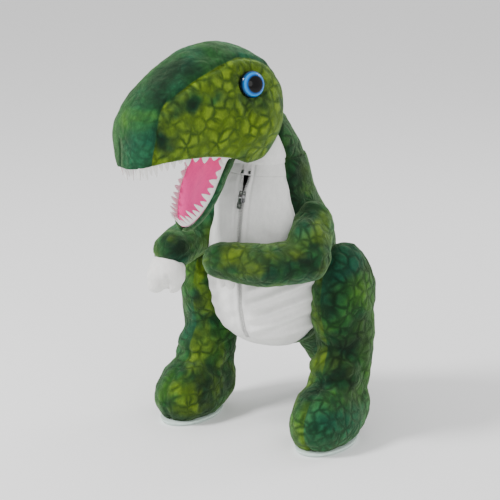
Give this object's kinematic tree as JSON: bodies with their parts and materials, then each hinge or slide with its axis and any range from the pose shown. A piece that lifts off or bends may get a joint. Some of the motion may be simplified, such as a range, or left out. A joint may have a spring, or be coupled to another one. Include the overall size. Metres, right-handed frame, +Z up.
{
  "type": "stuffed dinosaur",
  "caption": "Stuffed plush dinosaur standing on its feet and tail, with an open jaw, felt teeth and a zipped belly pouch.",
  "frame": {"origin": "on the floor, under the middle of the outer box", "axes": "+Z up; the dinosaur faces -Y with its head turned 22 degrees to its right; +X is its left side"},
  "size_m": [0.286, 0.4065, 0.5007],
  "materials": {
    "green_plush": "short-pile plush with a mottled scale print",
    "white_plush": "short-pile white plush",
    "stuffing": "polyester fibre filling",
    "lining": "woven polyester",
    "zip_tape": "woven tape",
    "zip_coil": "moulded nylon coil",
    "zip_metal": "plated zinc alloy",
    "pink_felt": "brushed knit",
    "white_felt": "pressed felt",
    "pale_felt": "short-pile white plush",
    "eye_lens": "clear moulded dome",
    "eye_blue": "metallic blue paint behind the dome",
    "eye_black": "black",
    "washer_plastic": "moulded",
    "pellets": "plastic pellets in a bag"
  },
  "bodies": {
    "torso": {"torso_skin": "green_plush", "belly_lower_panel": "white_plush", "chest_panel": "white_plush", "torso_stuffing": "stuffing", "pouch_lining": "lining", "left_side_gusset": "white_plush", "right_side_gusset": "white_plush", "zip_bottom_stop": "zip_metal", "left_top_stop": "zip_metal", "right_top_stop": "zip_metal"},
    "left_flap": {"left_belly_panel": "white_plush", "left_zip_tape": "zip_tape", "left_zip_coil": "zip_coil"},
    "right_flap": {"right_belly_panel": "white_plush", "right_zip_tape": "zip_tape", "right_zip_coil": "zip_coil"},
    "zip_slider": {"zip_slider_body": "zip_metal"},
    "zip_pull": {"zip_pull_tab": "zip_metal"},
    "neck": {"neck_skin": "green_plush", "throat_panel": "white_plush", "neck_stuffing": "stuffing"},
    "head": {"head_gusset": "green_plush", "left_cheek": "green_plush", "right_cheek": "green_plush", "head_stuffing": "stuffing", "palate_lining": "pink_felt", "upper_teeth": "white_felt", "left_eye_lens": "eye_lens", "left_eye_iris": "eye_blue", "left_eye_pupil": "eye_black", "left_eye_washer": "washer_plastic", "right_eye_lens": "eye_lens", "right_eye_iris": "eye_blue", "right_eye_pupil": "eye_black", "right_eye_washer": "washer_plastic"},
    "jaw": {"jaw_skin": "green_plush", "jaw_lining": "pink_felt", "jaw_stuffing": "stuffing", "lower_teeth": "white_felt"},
    "left_arm": {"left_arm_skin": "green_plush", "left_arm_stuffing": "stuffing", "left_hand": "pale_felt"},
    "right_arm": {"right_arm_skin": "green_plush", "right_arm_stuffing": "stuffing", "right_hand": "pale_felt"},
    "left_leg": {"left_leg_skin": "green_plush", "left_leg_stuffing": "stuffing", "left_foot_pellets": "pellets", "left_foot_sole": "pale_felt"},
    "right_leg": {"right_leg_skin": "green_plush", "right_leg_stuffing": "stuffing", "right_foot_pellets": "pellets", "right_foot_sole": "pale_felt"},
    "tail": {"tail_skin": "green_plush", "tail_stuffing": "stuffing"}
  },
  "joints": [
    {"name": "neck_turn", "type": "hinge", "parent": "torso", "child": "neck", "pos_m": [0, -0.00975, 0.352], "axis": [0, 0, 1], "range_deg": [-8, 35], "stiffness_Nm_per_rad": 3},
    {"name": "head_nod", "type": "hinge", "parent": "neck", "child": "head", "pos_m": [-0.00524, -0.02273, 0.396], "axis": [-0.9272, 0.3746, 0], "range_deg": [-4, 10], "stiffness_Nm_per_rad": 12},
    {"name": "jaw_open", "type": "hinge", "parent": "head", "child": "jaw", "pos_m": [-0.0266, -0.07558, 0.376], "axis": [-0.9272, 0.3746, 0], "range_deg": [0, 42], "stiffness_Nm_per_rad": 3},
    {"name": "left_shoulder", "type": "hinge", "parent": "torso", "child": "left_arm", "pos_m": [0.074, -0.00475, 0.28], "axis": [-1, 0, 0], "range_deg": [0, 8], "stiffness_Nm_per_rad": 3},
    {"name": "right_shoulder", "type": "hinge", "parent": "torso", "child": "right_arm", "pos_m": [-0.074, -0.00475, 0.28], "axis": [-1, 0, 0], "range_deg": [0, 15], "stiffness_Nm_per_rad": 3},
    {"name": "left_hip", "type": "hinge", "parent": "torso", "child": "left_leg", "pos_m": [0.058, 0.02525, 0.172], "axis": [-1, 0, 0], "range_deg": [-10, 10], "stiffness_Nm_per_rad": 40},
    {"name": "right_hip", "type": "hinge", "parent": "torso", "child": "right_leg", "pos_m": [-0.058, 0.02525, 0.172], "axis": [-1, 0, 0], "range_deg": [-10, 10], "stiffness_Nm_per_rad": 40},
    {"name": "tail_swing", "type": "hinge", "parent": "torso", "child": "tail", "pos_m": [0, 0.08325, 0.15], "axis": [0, 0, 1], "range_deg": [-15, 15], "stiffness_Nm_per_rad": 3},
    {"name": "zip_run", "type": "hinge", "parent": "torso", "child": "zip_slider", "pos_m": [0, 0.23725, 0.237], "axis": [1, 0, 0], "range_deg": [0, 30]},
    {"name": "pull_swing", "type": "hinge", "parent": "zip_slider", "child": "zip_pull", "pos_m": [0, -0.05823, 0.31221], "axis": [-1, 0, 0], "range_deg": [0, 120]},
    {"name": "left_flap_open", "type": "slide", "parent": "torso", "child": "left_flap", "axis": [0.766, 0.6428, 0], "range_m": [0, 0.018], "deforming": ["left_side_gusset", "left_zip_tape", "left_zip_coil"]},
    {"name": "right_flap_open", "type": "slide", "parent": "torso", "child": "right_flap", "axis": [-0.766, 0.6428, 0], "range_m": [0, 0.018], "deforming": ["right_side_gusset", "right_zip_tape", "right_zip_coil"]}
  ],
  "couplings": [
    {"joint": "left_flap_open", "follows": "zip_run", "m_per_rad": 0.034374},
    {"joint": "right_flap_open", "follows": "zip_run", "m_per_rad": 0.034374}
  ]
}
